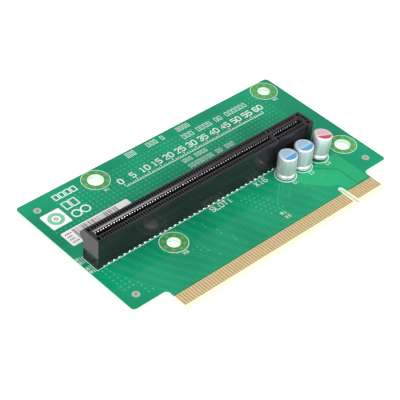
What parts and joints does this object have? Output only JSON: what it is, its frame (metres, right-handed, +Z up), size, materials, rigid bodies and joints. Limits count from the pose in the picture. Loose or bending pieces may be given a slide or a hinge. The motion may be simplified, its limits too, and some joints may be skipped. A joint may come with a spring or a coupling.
{
  "type": "pcie riser card",
  "caption": "Flat PCI Express x16 riser card: card edge along the front, upright card slot across the board, radial capacitors and mounting holes.",
  "frame": {"origin": "centre of the bounding box in X and Y, at the lowest point under the board, where the slot's pegs and the capacitor leads end", "axes": "+X along the slot and the card edge, towards pin 1; +Y from the card edge to the board's back edge; +Z up, out of the slot's mouth"},
  "size_m": [0.1076, 0.0646, 0.0139],
  "materials": {
    "board_laminate": "glossy green solder mask on glass-epoxy laminate",
    "gold_plate": "gold-plated contact pads",
    "slot_plastic": "black moulded plastic with a slight sheen",
    "contact_metal": "plated spring contacts",
    "label_paper": "white printed label",
    "bare_copper": "bare copper dots",
    "capacitor_can": "satin drawn aluminium",
    "capacitor_bung": "black rubber seal",
    "tinned_wire": "tinned wire leads"
  },
  "bodies": {
    "root": {"board": "board_laminate", "edge_contacts_top": "gold_plate", "slot_housing": "slot_plastic", "slot_contacts_front_outer": "contact_metal", "slot_contacts_front_inner": "contact_metal", "slot_contacts_back_inner": "contact_metal", "slot_contacts_back_outer": "contact_metal", "barcode_label": "label_paper", "square_label": "label_paper", "fiducials": "bare_copper", "chip_pads": "gold_plate", "capacitor_1_can": "capacitor_can", "capacitor_1_bung": "capacitor_bung", "capacitor_1_leads": "tinned_wire", "capacitor_2_can": "capacitor_can", "capacitor_2_bung": "capacitor_bung", "capacitor_2_leads": "tinned_wire", "capacitor_3_can": "capacitor_can", "capacitor_3_bung": "capacitor_bung", "capacitor_3_leads": "tinned_wire"}
  },
  "joints": []
}
